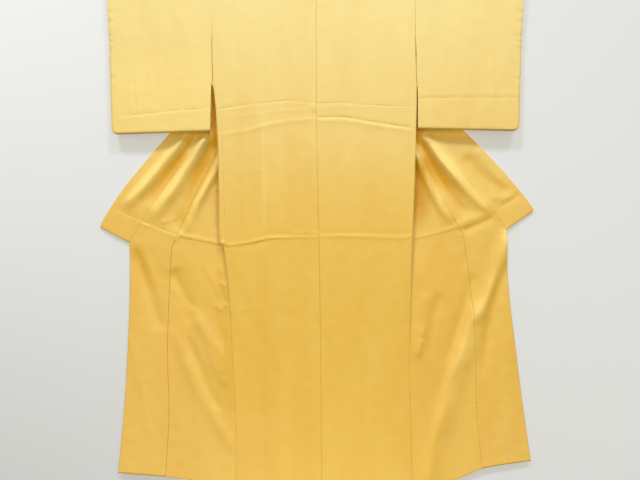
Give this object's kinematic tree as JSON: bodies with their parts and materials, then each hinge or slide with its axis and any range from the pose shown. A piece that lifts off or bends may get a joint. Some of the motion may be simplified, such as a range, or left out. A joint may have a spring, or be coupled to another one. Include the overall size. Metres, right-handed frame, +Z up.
{
  "type": "kimono on a hanging rod",
  "caption": "Yellow silk kimono hung by its back on a plain rod with a hook, its fronts and collar spread open to both sides.",
  "frame": {"origin": "the inside top of the hook, where a nail or peg carries it", "axes": "+Z up along the garment's length, +X across the back from the left sleeve to the right sleeve, and the back of the garment faces -Y with the wall on +Y"},
  "size_m": [1.3906, 0.0521, 1.7352],
  "materials": {
    "silk": "satin",
    "wood": "satin",
    "steel": "satin"
  },
  "bodies": {
    "root": {"body_left": "silk", "body_right": "silk", "sleeve_left": "silk", "sleeve_right": "silk", "okumi_left": "silk", "okumi_right": "silk", "collar": "silk", "rod": "wood", "hook": "steel"}
  },
  "joints": []
}
